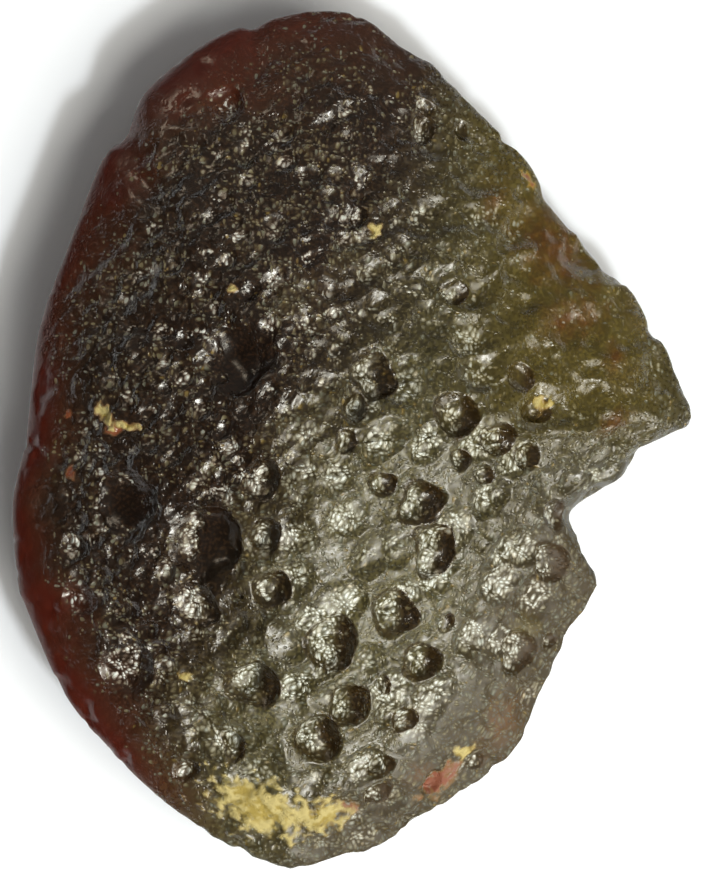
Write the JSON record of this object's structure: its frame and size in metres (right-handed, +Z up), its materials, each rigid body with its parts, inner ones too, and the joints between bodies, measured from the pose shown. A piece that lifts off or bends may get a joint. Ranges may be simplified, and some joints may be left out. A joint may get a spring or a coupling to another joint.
{
  "type": "moldavite",
  "caption": "Egg-shaped drop of dark natural glass with an etched, pitted skin, thick on one side and a thin chipped wedge on the other, lying on a small flat spot.",
  "frame": {"origin": "on the plane of the resting spot, under the centre of the stone's outline", "axes": "+Y along the longest extent, towards the rounded end at the top of the picture; +X towards the thin, chipped edge; +Z up, towards the pitted face"},
  "size_m": [0.0255, 0.0322, 0.0084],
  "materials": {
    "glass": "natural etched glass, olive-brown, nearly black where thick, with a satin to glossy pitted skin"
  },
  "bodies": {
    "root": {"moldavite": "glass"}
  },
  "joints": []
}
